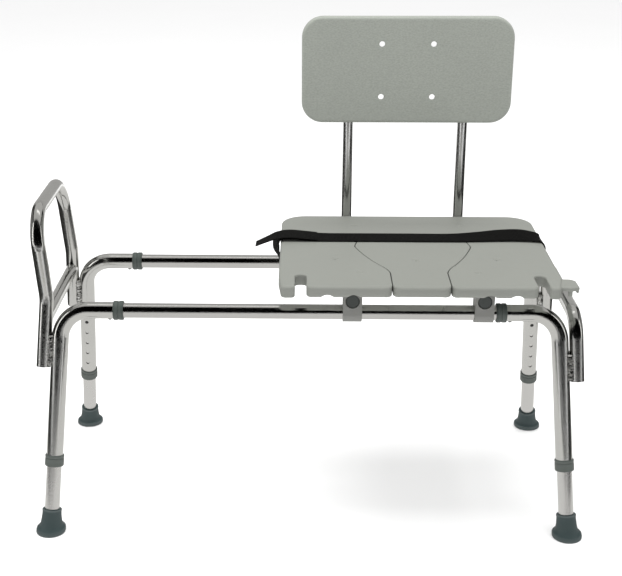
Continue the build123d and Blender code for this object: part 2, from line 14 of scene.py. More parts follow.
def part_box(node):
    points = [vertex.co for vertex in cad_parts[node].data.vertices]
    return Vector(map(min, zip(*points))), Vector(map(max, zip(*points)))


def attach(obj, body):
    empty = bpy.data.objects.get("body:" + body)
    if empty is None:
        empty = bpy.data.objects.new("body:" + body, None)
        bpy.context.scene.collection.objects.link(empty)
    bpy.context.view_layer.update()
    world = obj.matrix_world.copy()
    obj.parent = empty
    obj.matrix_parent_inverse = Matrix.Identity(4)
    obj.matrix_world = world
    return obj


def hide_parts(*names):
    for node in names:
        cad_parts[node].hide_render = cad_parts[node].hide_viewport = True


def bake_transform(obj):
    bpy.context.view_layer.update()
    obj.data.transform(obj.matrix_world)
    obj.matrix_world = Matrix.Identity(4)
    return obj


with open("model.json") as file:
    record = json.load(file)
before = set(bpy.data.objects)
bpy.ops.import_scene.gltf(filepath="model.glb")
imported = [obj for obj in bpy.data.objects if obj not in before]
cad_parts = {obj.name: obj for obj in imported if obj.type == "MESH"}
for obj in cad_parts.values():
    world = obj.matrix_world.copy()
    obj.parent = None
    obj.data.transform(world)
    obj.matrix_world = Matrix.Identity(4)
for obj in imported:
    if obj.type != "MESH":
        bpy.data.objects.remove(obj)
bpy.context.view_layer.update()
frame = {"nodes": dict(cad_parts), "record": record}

MM = 0.001
nodes = frame["nodes"]
slot_of = {part["node"]: part["material_slot"] for part in frame["record"]["subparts"]}
corners = (
    (-1, -1, "front_left"),
    (1, -1, "front_right"),
    (-1, 1, "rear_left"),
    (1, 1, "rear_right"),
)

# ---- places read from the frame
pan_low, pan_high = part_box("seat_pan")
insert_low, insert_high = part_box("seat_insert")
back_low, back_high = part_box("backrest")
strap_low, strap_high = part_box("safety_strap")
seat_thickness = 20 * MM
seat_x = (insert_low.x + insert_high.x) / 2
seat_top = insert_high.z
seat_low = pan_high.z - seat_thickness
seat_front = insert_low.y
seat_rear = pan_high.y
seat_left = pan_low.x
seat_right = 2 * seat_x - seat_left


# =====================================================================
# Camera, floor and light
# =====================================================================

def camera():
    """Three-quarter front view from above, nearly square to the rails."""
    data = bpy.data.cameras.new("camera")
    data.sensor_width = 36.0
    data.lens = 73.4
    data.shift_x = 0.0617
    data.clip_end = 60.0
    obj = bpy.data.objects.new("camera", data)
    bpy.context.scene.collection.objects.link(obj)
    yaw, pitch, roll = 0.0262, 0.3521, -0.0028
    turn = Matrix.Rotation(yaw, 4, "Z") @ Matrix.Rotation(pi / 2 - pitch, 4, "X")
    turn = turn @ Matrix.Rotation(roll, 4, "Z")
    obj.matrix_world = Matrix.Translation((-0.00931, -2.13077, 1.15686)) @ turn
    bpy.context.scene.camera = obj


def area_light(name, at, aim, size, power):
    """Soft light that mirrors don't show: the reflector cards below are for them."""
    data = bpy.data.lights.new(name, "AREA")
    data.shape = "RECTANGLE"
    data.size, data.size_y = size
    data.energy = power
    obj = bpy.data.objects.new(name, data)
    bpy.context.scene.collection.objects.link(obj)
    obj.location = at
    obj.rotation_euler = (Vector(aim) - Vector(at)).to_track_quat("-Z", "Y").to_euler()
    obj.visible_glossy = False


def studio():
    """Large soft lights, and an even glow that polished tube doesn't mirror."""
    world = bpy.data.worlds.new("studio")
    bpy.context.scene.world = world
    world.use_nodes = True
    background = world.node_tree.nodes["Background"]
    background.inputs["Color"].default_value = (0.97, 0.97, 0.97, 1.0)
    background.inputs["Strength"].default_value = 1.06
    world.cycles_visibility.glossy = False
    aim = (0.0, 0.0, 0.35)
    area_light("overhead", (0.0, 0.2, 3.4), aim, (3.0, 2.0), 95)
    area_light("left", (-2.6, -1.2, 1.9), aim, (0.9, 2.0), 7)
    area_light("right", (2.7, -0.6, 1.7), aim, (0.9, 2.0), 2)
    area_light("front", (0.3, -3.2, 2.4), aim, (2.2, 0.7), 1.5)
    bpy.context.scene.view_settings.view_transform = "Standard"


def card(name, points, brightness):
    """A flat studio card that only mirrors see: a reflector, or a dark flag at brightness 0."""
    bm = bmesh.new()
    bm.faces.new([bm.verts.new(point) for point in points])
    obj = mesh_object(name, bm)
    material, _, shader = plain_material(name, (0.012, 0.012, 0.011), 0.9)
    shader.inputs["Emission Color"].default_value = (1.0, 0.99, 0.97, 1.0)
    shader.inputs["Emission Strength"].default_value = brightness
    obj.data.materials.append(material)
    obj.visible_camera = False
    obj.visible_diffuse = False
    obj.visible_shadow = False
    obj.visible_transmission = False


def flat_card(name, low, high, z, brightness):
    plan = ((low[0], low[1]), (high[0], low[1]), (high[0], high[1]), (low[0], high[1]))
    card(name, [(x, y, z) for x, y in plan], brightness)


def upright_card(name, start, end, low, high, brightness):
    points = [(*start, low), (*end, low), (*end, high), (*start, high)]
    card(name, points, brightness)


def reflectors():
    """What the polished tube mirrors: a grey floor, dark flags beyond it, bright strips."""
    flat_card("flag_left", (-4.0, -1.5), (-0.93, 1.6), 0.0020, 0.0)
    flat_card("flag_right", (0.90, -1.5), (4.0, 1.6), 0.0020, 0.0)
    flat_card("flag_far_front", (-4.0, -6.0), (4.0, -2.4), 0.0020, 0.03)
    flat_card("grey_floor", (-0.93, -2.4), (0.90, 1.9), 0.0015, 0.74)
    flat_card("canopy", (-2.6, -0.7), (2.6, 3.4), 2.9, 0.50)
    flat_card("canopy_strip", (-0.9, 0.3), (0.9, 0.6), 2.85, 1.6)
    upright_card("back", (-3.0, 3.6), (3.0, 3.6), 0.0, 2.9, 0.42)
    upright_card("left_strip", (-2.3, -0.9), (-2.45, -0.6), 0.2, 2.4, 2.4)
    upright_card("right_strip", (2.4, -0.5), (2.5, -0.25), 0.2, 2.4, 2.2)
    upright_card("left_wall", (-3.2, -0.4), (-3.2, 2.6), 0.0, 2.4, 0.16)
    upright_card("right_wall", (3.2, -0.2), (3.2, 2.6), 0.0, 2.4, 0.16)


def floor():
    bm = bmesh.new()
    bmesh.ops.create_grid(bm, x_segments=8, y_segments=8, size=14.0)
    obj = mesh_object("floor", bm)
    material, tree, shader = plain_material("floor", (0.96, 0.96, 0.96), 0.8)
    grain = noise_texture(tree, 2.0, 3.0)
    tint = mix_colours(tree, grain.outputs["Fac"], (0.95, 0.95, 0.95), (0.97, 0.97, 0.97))
    tree.links.new(tint.outputs[2], shader.inputs["Base Color"])
    obj.data.materials.append(material)


# =====================================================================
# Materials
# =====================================================================

def plain_material(name, colour, roughness, metallic=0.0):
    material = bpy.data.materials.new(name)
    material.use_nodes = True
    tree = material.node_tree
    shader = tree.nodes["Principled BSDF"]
    shader.inputs["Base Color"].default_value = (*colour, 1.0)
    shader.inputs["Roughness"].default_value = roughness
    shader.inputs["Metallic"].default_value = metallic
    return material, tree, shader


def coordinates(tree, scale=(1.0, 1.0, 1.0), kind="Object"):
    place = tree.nodes.new("ShaderNodeTexCoord")
    mapping = tree.nodes.new("ShaderNodeMapping")
    mapping.inputs["Scale"].default_value = scale
    tree.links.new(place.outputs[kind], mapping.inputs["Vector"])
    return mapping.outputs["Vector"]


def noise_texture(tree, scale, detail=2.0, stretch=(1.0, 1.0, 1.0), roughness=0.5):
    texture = tree.nodes.new("ShaderNodeTexNoise")
    texture.inputs["Scale"].default_value = scale
    texture.inputs["Detail"].default_value = detail
    texture.inputs["Roughness"].default_value = roughness
    tree.links.new(coordinates(tree, stretch), texture.inputs["Vector"])
    return texture


def ramp(tree, value, low, high, to_low, to_high):
    """Maps a value from one range to another."""
    node = tree.nodes.new("ShaderNodeMapRange")
    node.inputs["From Min"].default_value = low
    node.inputs["From Max"].default_value = high
    node.inputs["To Min"].default_value = to_low
    node.inputs["To Max"].default_value = to_high
    tree.links.new(value, node.inputs["Value"])
    return node.outputs["Result"]


def mix_colours(tree, factor, first, second):
    node = tree.nodes.new("ShaderNodeMix")
    node.data_type = "RGBA"
    for socket, colour in ((node.inputs[6], first), (node.inputs[7], second)):
        if isinstance(colour, tuple):
            socket.default_value = (*colour, 1.0)
        else:
            tree.links.new(colour, socket)
    tree.links.new(factor, node.inputs[0])
    return node


def bump(tree, shader, height, distance, strength=1.0, under=None):
    node = tree.nodes.new("ShaderNodeBump")
    node.inputs["Distance"].default_value = distance
    node.inputs["Strength"].default_value = strength
    tree.links.new(height, node.inputs["Height"])
    if under is not None:
        tree.links.new(under.outputs["Normal"], node.inputs["Normal"])
    tree.links.new(node.outputs["Normal"], shader.inputs["Normal"])
    return node


def shade(colour, factor):
    return tuple(min(1.0, channel * factor) for channel in colour)


def edge_wear(tree):
    """1 on convex edges, 0 elsewhere."""
    geometry = tree.nodes.new("ShaderNodeNewGeometry")
    return ramp(tree, geometry.outputs["Pointiness"], 0.52, 0.60, 0.0, 1.0)


def bright_tube(name, along, colour, roughness):
    """Polished aluminium tube with fine draw lines along axis 0, 1 or 2."""
    material, tree, shader = plain_material(name, colour, roughness, 1.0)
    stretch = tuple(0.02 if axis == along else 1.0 for axis in range(3))
    lines = noise_texture(tree, 900.0, 2.0, stretch)
    haze = noise_texture(tree, 14.0, 4.0)
    spots = noise_texture(tree, 260.0, 2.0)
    tint = mix_colours(tree, haze.outputs["Fac"], shade(colour, 0.90), shade(colour, 1.04))
    tree.links.new(tint.outputs[2], shader.inputs["Base Color"])
    worn = ramp(tree, haze.outputs["Fac"], 0.3, 0.75, roughness - 0.05, roughness + 0.09)
    tree.links.new(worn, shader.inputs["Roughness"])
    first = bump(tree, shader, lines.outputs["Fac"], 0.00002, 0.5)
    bump(tree, shader, spots.outputs["Fac"], 0.00002, 0.3, first)
    return material


def moulded(name, colour, roughness, grain, depth=0.00006, wear=0.10, fleck=0.08,
            streak=(1.0, 1.0, 1.0)):
    """Moulded plastic or rubber: fine grain and flecks, slow colour drift, paler worn edges."""
    material, tree, shader = plain_material(name, colour, roughness)
    fine = noise_texture(tree, grain, 3.0, streak, 0.6)
    broad = noise_texture(tree, 9.0, 4.0)
    patches = mix_colours(tree, broad.outputs["Fac"], shade(colour, 0.955), shade(colour, 1.045))
    speckle = ramp(tree, fine.outputs["Fac"], 0.38, 0.66, 0.0, fleck)
    tint = mix_colours(tree, speckle, patches.outputs[2], shade(colour, 0.45))
    if wear:
        faint = ramp(tree, edge_wear(tree), 0.0, 1.0, 0.0, wear)
        tint = mix_colours(tree, faint, tint.outputs[2], (0.85, 0.86, 0.84))
    tree.links.new(tint.outputs[2], shader.inputs["Base Color"])
    rough = ramp(tree, broad.outputs["Fac"], 0.3, 0.7, roughness - 0.05, roughness + 0.07)
    tree.links.new(rough, shader.inputs["Roughness"])
    first = bump(tree, shader, broad.outputs["Fac"], 0.0015, 0.12)
    bump(tree, shader, fine.outputs["Fac"], depth, 0.7, first)
    return material


def steel(name, colour=(0.55, 0.55, 0.54), roughness=0.3):
    material, tree, shader = plain_material(name, colour, roughness, 1.0)
    scratches = noise_texture(tree, 700.0, 3.0, (1.0, 0.15, 1.0))
    stain = noise_texture(tree, 60.0, 3.0)
    tint = mix_colours(tree, stain.outputs["Fac"], shade(colour, 0.8), shade(colour, 1.1))
    tree.links.new(tint.outputs[2], shader.inputs["Base Color"])
    rough = ramp(tree, stain.outputs["Fac"], 0.3, 0.7, roughness - 0.08, roughness + 0.12)
    tree.links.new(rough, shader.inputs["Roughness"])
    bump(tree, shader, scratches.outputs["Fac"], 0.00004, 0.5)
    return material


def weld_metal(name):
    """Bright cast metal with sooty patches."""
    material, tree, shader = plain_material(name, (0.80, 0.80, 0.78), 0.22, 1.0)
    soot = noise_texture(tree, 120.0, 4.0)
    tint = mix_colours(tree, soot.outputs["Fac"], (0.60, 0.60, 0.58), (0.92, 0.92, 0.90))
    tree.links.new(tint.outputs[2], shader.inputs["Base Color"])
    rough = ramp(tree, soot.outputs["Fac"], 0.3, 0.7, 0.16, 0.34)
    tree.links.new(rough, shader.inputs["Roughness"])
    bump(tree, shader, soot.outputs["Fac"], 0.0003, 0.6)
    return material


def webbing(name, colour):
    """Woven polyester webbing: ribs across, fine warp threads along, with painted highlights on the
    rib tops and painted shade in the hollows between them. UVs are in metres.
    """
    material, tree, shader = plain_material(name, colour, 0.7)
    shader.inputs["Specular IOR Level"].default_value = 0.10
    place = coordinates(tree, (1.0, 1.0, 1.0), "UV")
    heights = []
    for direction, scale in (("X", 130.0), ("Y", 95.0)):
        wave = tree.nodes.new("ShaderNodeTexWave")
        wave.wave_type = "BANDS"
        wave.bands_direction = direction
        wave.inputs["Scale"].default_value = scale
        wave.inputs["Distortion"].default_value = 0.6
        wave.inputs["Detail"].default_value = 1.0
        tree.links.new(place, wave.inputs["Vector"])
        heights.append(wave.outputs["Fac"])
    weave = tree.nodes.new("ShaderNodeMath")
    weave.operation = "MULTIPLY"
    tree.links.new(heights[0], weave.inputs[0])
    tree.links.new(heights[1], weave.inputs[1])
    fuzz = noise_texture(tree, 1800.0, 2.0)
    # colour follows the weave's height: painted highlight on the rib tops, painted shade in the
    # hollows
    tint = mix_colours(tree, weave.outputs["Value"], shade(colour, 0.4), shade(colour, 3.2))
    tree.links.new(tint.outputs[2], shader.inputs["Base Color"])
    first = bump(tree, shader, weave.outputs["Value"], 0.0005, 0.9)
    bump(tree, shader, fuzz.outputs["Fac"], 0.0001, 0.4, first)
    return material


seat_grey = (0.214, 0.221, 0.200)
back_grey = (0.300, 0.318, 0.284)
materials = {
    "leg_tube": bright_tube("leg_tube", 2, (0.70, 0.70, 0.68), 0.16),
    "rail_tube": bright_tube("rail_tube", 0, (0.66, 0.655, 0.64), 0.15),
    "extension_tube": bright_tube("extension_tube", 2, (0.74, 0.735, 0.72), 0.22),
    "post_tube": bright_tube("post_tube", 2, (0.60, 0.60, 0.59), 0.13),
    "rail_collar": moulded("rail_collar", (0.048, 0.060, 0.054), 0.42, 1300.0),
    "leg_collar": moulded("leg_collar", (0.075, 0.088, 0.080), 0.45, 1300.0),
    "foot_rubber": moulded("foot_rubber", (0.032, 0.052, 0.053), 0.55, 900.0, 0.0001),
    "button_dark": moulded("button_dark", (0.02, 0.02, 0.02), 0.35, 1600.0),
    "button_steel": steel("button_steel", (0.16, 0.17, 0.16), 0.32),
    "spring_steel": steel("spring_steel", (0.45, 0.45, 0.46), 0.3),
    "bracket_plastic": moulded("bracket_plastic", (0.160, 0.160, 0.149), 0.42, 1300.0),
    "roller_plastic": moulded("roller_plastic", (0.036, 0.042, 0.039), 0.34, 1300.0),
    "seat_plastic": moulded("seat_plastic", seat_grey, 0.50, 900.0, 0.00014, 0.0, 0.12),
    "back_plastic": moulded("back_plastic", back_grey, 0.52, 560.0, 0.00030, 0.0, 0.30,
                            (0.45, 1.0, 1.0)),
    "weld": weld_metal("weld"),
    "fastener_steel": steel("fastener_steel"),
    "strap_webbing": webbing("strap_webbing", (0.0030, 0.0030, 0.0027)),
}


# =====================================================================
# Mesh helpers
# =====================================================================

def mesh_object(name, bm):
    mesh = bpy.data.meshes.new(name)
    bm.to_mesh(mesh)
    bm.free()
    obj = bpy.data.objects.new(name, mesh)
    bpy.context.scene.collection.objects.link(obj)
    return obj


def skin(name, rings):
    """Closed mesh through rings of points, capped at both ends."""
    bm = bmesh.new()
    loops = [[bm.verts.new(point) for point in ring] for ring in rings]
    count = len(loops[0])
    for below, above in zip(loops, loops[1:]):
        for i in range(count):
            j = (i + 1) % count
            bm.faces.new((below[i], below[j], above[j], above[i]))
    bm.faces.new(list(reversed(loops[0])))
    bm.faces.new(loops[-1])
    bmesh.ops.recalc_face_normals(bm, faces=bm.faces)
    return mesh_object(name, bm)


def finish_piece(obj, body, slot, *replaced):
    """Gives a new piece the material of its slot and its body, and hides the CAD nodes it replaces.
    """
    if not obj.data.materials:
        obj.data.materials.append(materials[slot])
    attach(obj, body)
    if replaced:
        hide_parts(*replaced)
    return obj


def arc(a, b, c, steps=8):
    """Points of the arc from a through b to c, without a itself."""
    d = 2 * (a.x * (b.y - c.y) + b.x * (c.y - a.y) + c.x * (a.y - b.y))
    x = a.length_squared * (b.y - c.y) + b.length_squared * (c.y - a.y)
    x += c.length_squared * (a.y - b.y)
    y = a.length_squared * (c.x - b.x) + b.length_squared * (a.x - c.x)
    y += c.length_squared * (b.x - a.x)
    centre = Vector((x / d, y / d))
    radius = (a - centre).length
    first = atan2(a.y - centre.y, a.x - centre.x)
    middle = (atan2(b.y - centre.y, b.x - centre.x) - first) % (2 * pi)
    total = (atan2(c.y - centre.y, c.x - centre.x) - first) % (2 * pi)
    if middle > total:
        total -= 2 * pi
    angles = [first + total * k / steps for k in range(1, steps + 1)]
    return [centre + Vector((cos(t), sin(t))) * radius for t in angles]


def corner(before, at, after, radius, steps=7):
    """Points that round the corner at this point."""
    u = (before - at).normalized()
    v = (after - at).normalized()
    half = u.angle(v) / 2
    run = radius / tan(half)
    middle = at + (u + v).normalized() * (radius / sin(half) - radius)
    start = at + u * run
    return [start] + arc(start, middle, at + v * run, steps)


def rounded(points, radii, steps=7):
    """A closed outline with its corners rounded."""
    outline = []
    for i, (at, radius) in enumerate(zip(points, radii)):
        after = points[(i + 1) % len(points)]
        if radius > 0:
            outline += corner(points[i - 1], at, after, radius, steps)
        else:
            outline.append(at)
    return outline


def inset(outline, distances):
    """Every point of a closed outline, moved square to its own two edges, inwards."""
    moved = []
    count = len(outline)
    for i, (at, distance) in enumerate(zip(outline, distances)):
        u = (at - outline[i - 1]).normalized()
        v = (outline[(i + 1) % count] - at).normalized()
        left_u = Vector((-u.y, u.x))
        left_v = Vector((-v.y, v.x))
        moved.append(at + (left_u + left_v) * (distance / (1 + left_u.dot(left_v))))
    return moved


def slab(name, outline, low, high, edge_low, edge_high, steps=5):
    """A plate with rounded rims. edge_low and edge_high are one radius or one a point."""
    count = len(outline)
    if not isinstance(edge_low, list):
        edge_low = [edge_low] * count
    if not isinstance(edge_high, list):
        edge_high = [edge_high] * count
    rings = []
    for k in range(steps + 1):
        t = pi / 2 * k / steps
        ring = inset(outline, [r * (1 - sin(t)) for r in edge_low])
        rings.append([(p.x, p.y, low + r * (1 - cos(t))) for p, r in zip(ring, edge_low)])
    for k in range(steps + 1):
        t = pi / 2 * k / steps
        ring = inset(outline, [r * (1 - cos(t)) for r in edge_high])
        rings.append([(p.x, p.y, high - r * (1 - sin(t))) for p, r in zip(ring, edge_high)])
    return skin(name, rings)


def lathe(name, profile, at, axis, segments=40):
    """A turned piece: profile is (radius, height) pairs along the axis, closed at its ends."""
    turn = Vector(axis).to_track_quat("Z", "Y").to_matrix().to_4x4()
    place = Matrix.Translation(at) @ turn
    angles = [2 * pi * k / segments for k in range(segments)]
    rings = []
    for radius, height in profile:
        rings.append([place @ Vector((radius * cos(t), radius * sin(t), height)) for t in angles])
    return skin(name, rings)


def apply_modifiers(obj):
    graph = bpy.context.evaluated_depsgraph_get()
    graph.update()
    mesh = bpy.data.meshes.new_from_object(obj.evaluated_get(graph))
    obj.modifiers.clear()
    obj.data = mesh


def combine(obj, others, operation):
    """Joins the others to a piece or cuts them out of it, then removes them."""
    for other in others:
        modifier = obj.modifiers.new("combine", "BOOLEAN")
        modifier.operation = operation
        modifier.solver = "EXACT"
        modifier.object = other
    bpy.context.view_layer.update()
    apply_modifiers(obj)
    for other in others:
        bpy.data.objects.remove(other)


def shade_smooth(obj, angle=35.0):
    """Smooth shading with sharp edges kept, and flat faces that stay flat."""
    obj.data.shade_smooth()
    obj.data.set_sharp_from_angle(angle=radians(angle))
    modifier = obj.modifiers.new("normals", "WEIGHTED_NORMAL")
    modifier.keep_sharp = True


def soften_node(node, width):
    """Rounds the edges of a CAD node with modifiers, which leave its mesh alone."""
    obj = nodes[node]
    obj.modifiers.new("join", "WELD").merge_threshold = 0.00002
    bevel = obj.modifiers.new("edges", "BEVEL")
    bevel.width = width
    bevel.segments = 2
    bevel.limit_method = "ANGLE"
    bevel.angle_limit = radians(38)
    bevel.use_clamp_overlap = True
    bevel.harden_normals = True


# =====================================================================
# Seat
# =====================================================================

def at_seat(dx, y):
    """Point of the seat's plan: across from its middle, in mm; along in the frame, in mm."""
    return Vector((seat_x + dx * MM, y * MM))


def keyhole_side(side, gap):
    """One side of the keyhole, front to rear, moved towards the middle by gap (mm)."""
    points = [at_seat(side * (48.5 - gap), -128)]
    arcs = (
        ((54 - gap, -109.5), (64 - gap, -91)),
        ((86.5 - gap, -42 - gap * 0.4), (101.5 - gap, 4)),
        ((102.8 - gap, 13), (101.3 - gap, 22 - gap * 0.2)),
        ((86 - gap * 0.6, 57 - gap * 0.8), (50, 75 - gap)),
    )
    for middle, end in arcs:
        start = points[-1]
        points += arc(start, at_seat(side * middle[0], middle[1]), at_seat(side * end[0], end[1]), 9)
    return points


class Rim:
    """An outline with the radius of its top and bottom edge at each point."""

    def __init__(self):
        self.points, self.high, self.low = [], [], []

    def add(self, points, high, low=(3.2, 3.2)):
        """Points whose edge radii (mm) run evenly from the first value to the last."""
        count = max(1, len(points) - 1)
        for i, point in enumerate(points):
            self.points.append(point)
            self.high.append((high[0] + (high[1] - high[0]) * i / count) * MM)
            self.low.append((low[0] + (low[1] - low[0]) * i / count) * MM)

    def corner(self, before, at, after, radius, high, low=(3.2, 3.2), steps=8):
        places = [at_seat(*p) for p in (before, at, after)]
        self.add(corner(*places, radius * MM, steps), high, low)


def pan_outline():
    front = seat_front / MM
    rear = seat_rear / MM
    half = (seat_right - seat_left) / 2 / MM
    notch, notch_r, notch_end = 197.6, 9.25, -149.75
    cut_y, cut_left, cut_right = -150, 5, 11.5
    rim = Rim()
    rim.corner((-half, cut_y), (-half + cut_left, front), (0, front), 9, (5, 5))
    for side in (-1, 1):
        if side > 0:
            rim.add(list(reversed(keyhole_side(1, 0))), (1.6, 1.6))
            rim.corner((48.5, 0), (48.5, front), (200, front), 13, (1.6, 7), (3.2, 10))
        x1, x2 = side * notch - notch_r, side * notch + notch_r
        wide, narrow = (11, (6, 3), (8, 4)), (6, (5, 3), (4, 3.2))
        radius, high, low = wide if side > 0 else narrow
        rim.corner((x1 - 30, front), (x1, front), (x1, 0), radius, high, low)
        start, end = at_seat(x1, notch_end), at_seat(x2, notch_end)
        tip = at_seat(side * notch, notch_end + notch_r)
        rim.add([start] + arc(start, tip, end, 14), (3, 3))
        radius, high, low = narrow if side > 0 else wide
        rim.corner((x2, 0), (x2, front), (x2 + 30, front), radius, high[::-1], low[::-1])
        if side < 0:
            rim.corner((-100, front), (-48.5, front), (-48.5, 0), 13, (7, 1.6), (10, 3.2))
            rim.add(keyhole_side(-1, 0), (1.6, 1.6))
    right_front = (half - cut_right, front)
    rim.corner((0, front), right_front, (half, cut_y), 7.5, (5, 5))
    rim.corner(right_front, (half, cut_y), (half, 0), 60, (5, 5), steps=6)
    rim.corner((half, 0), (half, rear), (0, rear), 46, (5, 5), steps=16)
    rim.corner((0, rear), (-half, rear), (-half, 0), 46, (5, 5), steps=16)
    rim.corner((-half, 0), (-half, cut_y), (-half + cut_left, front), 60, (5, 5), steps=5)
    return rim


def insert_outline():
    front = seat_front / MM
    gap = 1.2
    edge = 48.5 - gap
    rim = Rim()
    rim.corner((-edge, 0), (-edge, front), (edge, front), 13, (1.6, 7), (3.2, 10))
    rim.corner((-edge, front), (edge, front), (edge, 0), 13, (7, 1.6), (10, 3.2))
    rim.add(keyhole_side(1, gap), (1.6, 1.6))
    rim.add(list(reversed(keyhole_side(-1, gap))), (1.6, 1.6))
    return rim


def dimple(at):
    """Cutter for a shallow round hollow in the seat's top: part of a ball."""
    radius, depth, steepest = 7.0 * MM, 1.7 * MM, 0.9
    ball = (radius * radius + depth * depth) / (2 * depth)
    profile = []
    for k in range(7):
        t = steepest * k / 6
        profile.append((max(ball * sin(t), 0.00001), ball - depth - ball * cos(t)))
    profile.append((profile[-1][0], profile[-1][1] + 4 * MM))
    return lathe("dimple", profile, (at.x, at.y, seat_top), (0, 0, 1), 28)


def drain(at):
    """Cutter for a small hole right through the seat."""
    radius = 1.3 * MM
    profile = [(radius, seat_low - 5 * MM), (radius, seat_top + 3 * MM)]
    return lathe("drain", profile, (at.x, at.y, 0), (0, 0, 1), 24)


def front_relief(dx):
    """Cutter for the shallow arch under the seat's front edge."""
    centre = (at_seat(dx, 0).x, seat_front, 423.6 * MM)
    profile = [(12.8 * MM, -24 * MM), (12.8 * MM, 24 * MM)]
    return lathe("relief", profile, centre, (0, 1, 0), 48)


def post_way(side):
    """Cutter for the pocket under the seat's rear edge where a backrest post passes."""
    low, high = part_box(f"backrest_post_{side}")
    middle_x = (low.x + high.x) / 2
    half_w = 11.5 * MM
    front, rear = seat_rear - 25 * MM, seat_rear + 5 * MM
    plan = [
        Vector((middle_x - half_w, front)), Vector((middle_x + half_w, front)),
        Vector((middle_x + half_w, rear)), Vector((middle_x - half_w, rear)),
    ]
    bottom, top = 420 * MM, seat_low + 15.4 * MM
    return slab("post_way", rounded(plan, [3 * MM] * 4, 3), bottom, top, 1 * MM, 2 * MM)


def seat_pan():
    rim = pan_outline()
    pan = slab("seat_shell", rim.points, seat_low, seat_top, rim.low, rim.high)
    drains = [at_seat(side * 138.7, -59.7) for side in (-1, 1)]
    marks = [at_seat(side * 98.7, y) for side in (-1, 1) for y in (-129, 134)]
    cutters = [dimple(at) for at in marks + drains]
    for side, at in zip((-1, 1), drains):
        cutters.append(drain(at))
        cutters += [front_relief(side * dx) for dx in (110.5, 154.0)]
    cutters += [post_way(side) for side in ("left", "right")]
    combine(pan, cutters, "DIFFERENCE")
    shade_smooth(pan)
    finish_piece(pan, "seat", "seat_plastic", "seat_pan")


def seat_insert():
    """The keyhole-shaped piece that lifts out of the pan."""
    rim = insert_outline()
    insert = slab("insert_shell", rim.points, seat_low + 0.4 * MM, seat_top, rim.low, rim.high)
    middle = at_seat(0, -63.7)
    combine(insert, [dimple(middle), drain(middle)], "DIFFERENCE")
    shade_smooth(insert)
    finish_piece(insert, "insert", "seat_plastic", "seat_insert")


def hose_hook():
    """Plate, lip and peg at the seat's right front corner that hold the shower hose."""
    right = (seat_right - seat_x) / MM
    plan = [
        at_seat(right - 6, -149),
        at_seat(right - 13, -191),
        at_seat(right + 6, -194),
        at_seat(right + 21, -190),
        at_seat(right + 20.5, -158),
        at_seat(right + 13, -150),
    ]
    radii = [2 * MM, 2 * MM, 6 * MM, 5 * MM, 5 * MM, 6 * MM]
    hook = slab("hose_hook", rounded(plan, radii, 5), 441.0 * MM, 448.0 * MM, 2.4 * MM, 2.6 * MM, 4)
    shade_smooth(hook)
    finish_piece(hook, "seat", "seat_plastic")
    lip_plan = [
        at_seat(right + 16.5, -187),
        at_seat(right + 20.5, -187),
        at_seat(right + 20.0, -160),
        at_seat(right + 16.0, -160),
    ]
    lip = slab("hose_hook_lip", rounded(lip_plan, [1.5 * MM] * 4, 4), 436.5 * MM, 443.0 * MM,
               1.2 * MM, 0.4 * MM, 4)
    shade_smooth(lip)
    finish_piece(lip, "seat", "seat_plastic")
    profile = [
        (1.6 * MM, 0.0), (3.0 * MM, 0.5 * MM), (3.7 * MM, 2.0 * MM),
        (3.6 * MM, 8.0 * MM), (4.4 * MM, 11.0 * MM),
    ]
    at = at_seat(right + 6.5, -187)
    peg = lathe("hose_hook_peg", profile, (at.x, at.y, 431.0 * MM), (0, 0, 1), 24)
    shade_smooth(peg)
    finish_piece(peg, "seat", "seat_plastic")


# =====================================================================
# Backrest
# =====================================================================

panel_t = 20 * MM


def post_channel(side):
    """The round thickening of the panel's rear over one post."""
    low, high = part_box(f"backrest_post_{side}")
    post_r, radius, edge_r, short = 9.5 * MM, 12.7 * MM, 5 * MM, 6 * MM
    span = back_high.z - back_low.z - 2 * short
    profile = [(radius - edge_r, 0.0)]
    for k in range(1, 6):
        t = pi / 2 * k / 5
        profile.append((radius - edge_r * (1 - sin(t)), edge_r * (1 - cos(t))))
    profile += [(r, span - z) for r, z in reversed(profile)]
    at = ((low.x + high.x) / 2, high.y - post_r, back_low.z + short)
    channel = lathe(f"post_channel_{side}", profile, at, (0, 0, 1), 48)
    # flattened inside the panel, so that the panel's front stays one face
    for vertex in channel.data.vertices:
        vertex.co.y = max(vertex.co.y, back_low.y + 4 * MM)
    return channel


def panel_bore(at):
    """Cutter for a hole: flared at the front, in a wide dish at the rear."""
    hole_r, flare, dish_r, web = 5.25 * MM, 1.2 * MM, 15.0 * MM, 5.0 * MM
    profile = [
        (dish_r + 3 * MM, -4 * MM),
        (dish_r + 1.5 * MM, 0.0),
        (dish_r - 1 * MM, 3 * MM),
        (dish_r - 4 * MM, panel_t - web - 1.5 * MM),
        (dish_r - 6 * MM, panel_t - web),
        (hole_r, panel_t - web),
    ]
    for k in range(6):
        t = pi / 2 * k / 5
        profile.append((hole_r + flare * (1 - cos(t)), panel_t - flare + flare * sin(t)))
    profile.append((hole_r + flare, panel_t + 3 * MM))
    return lathe("bore", profile, at, (0, -1, 0), 40)


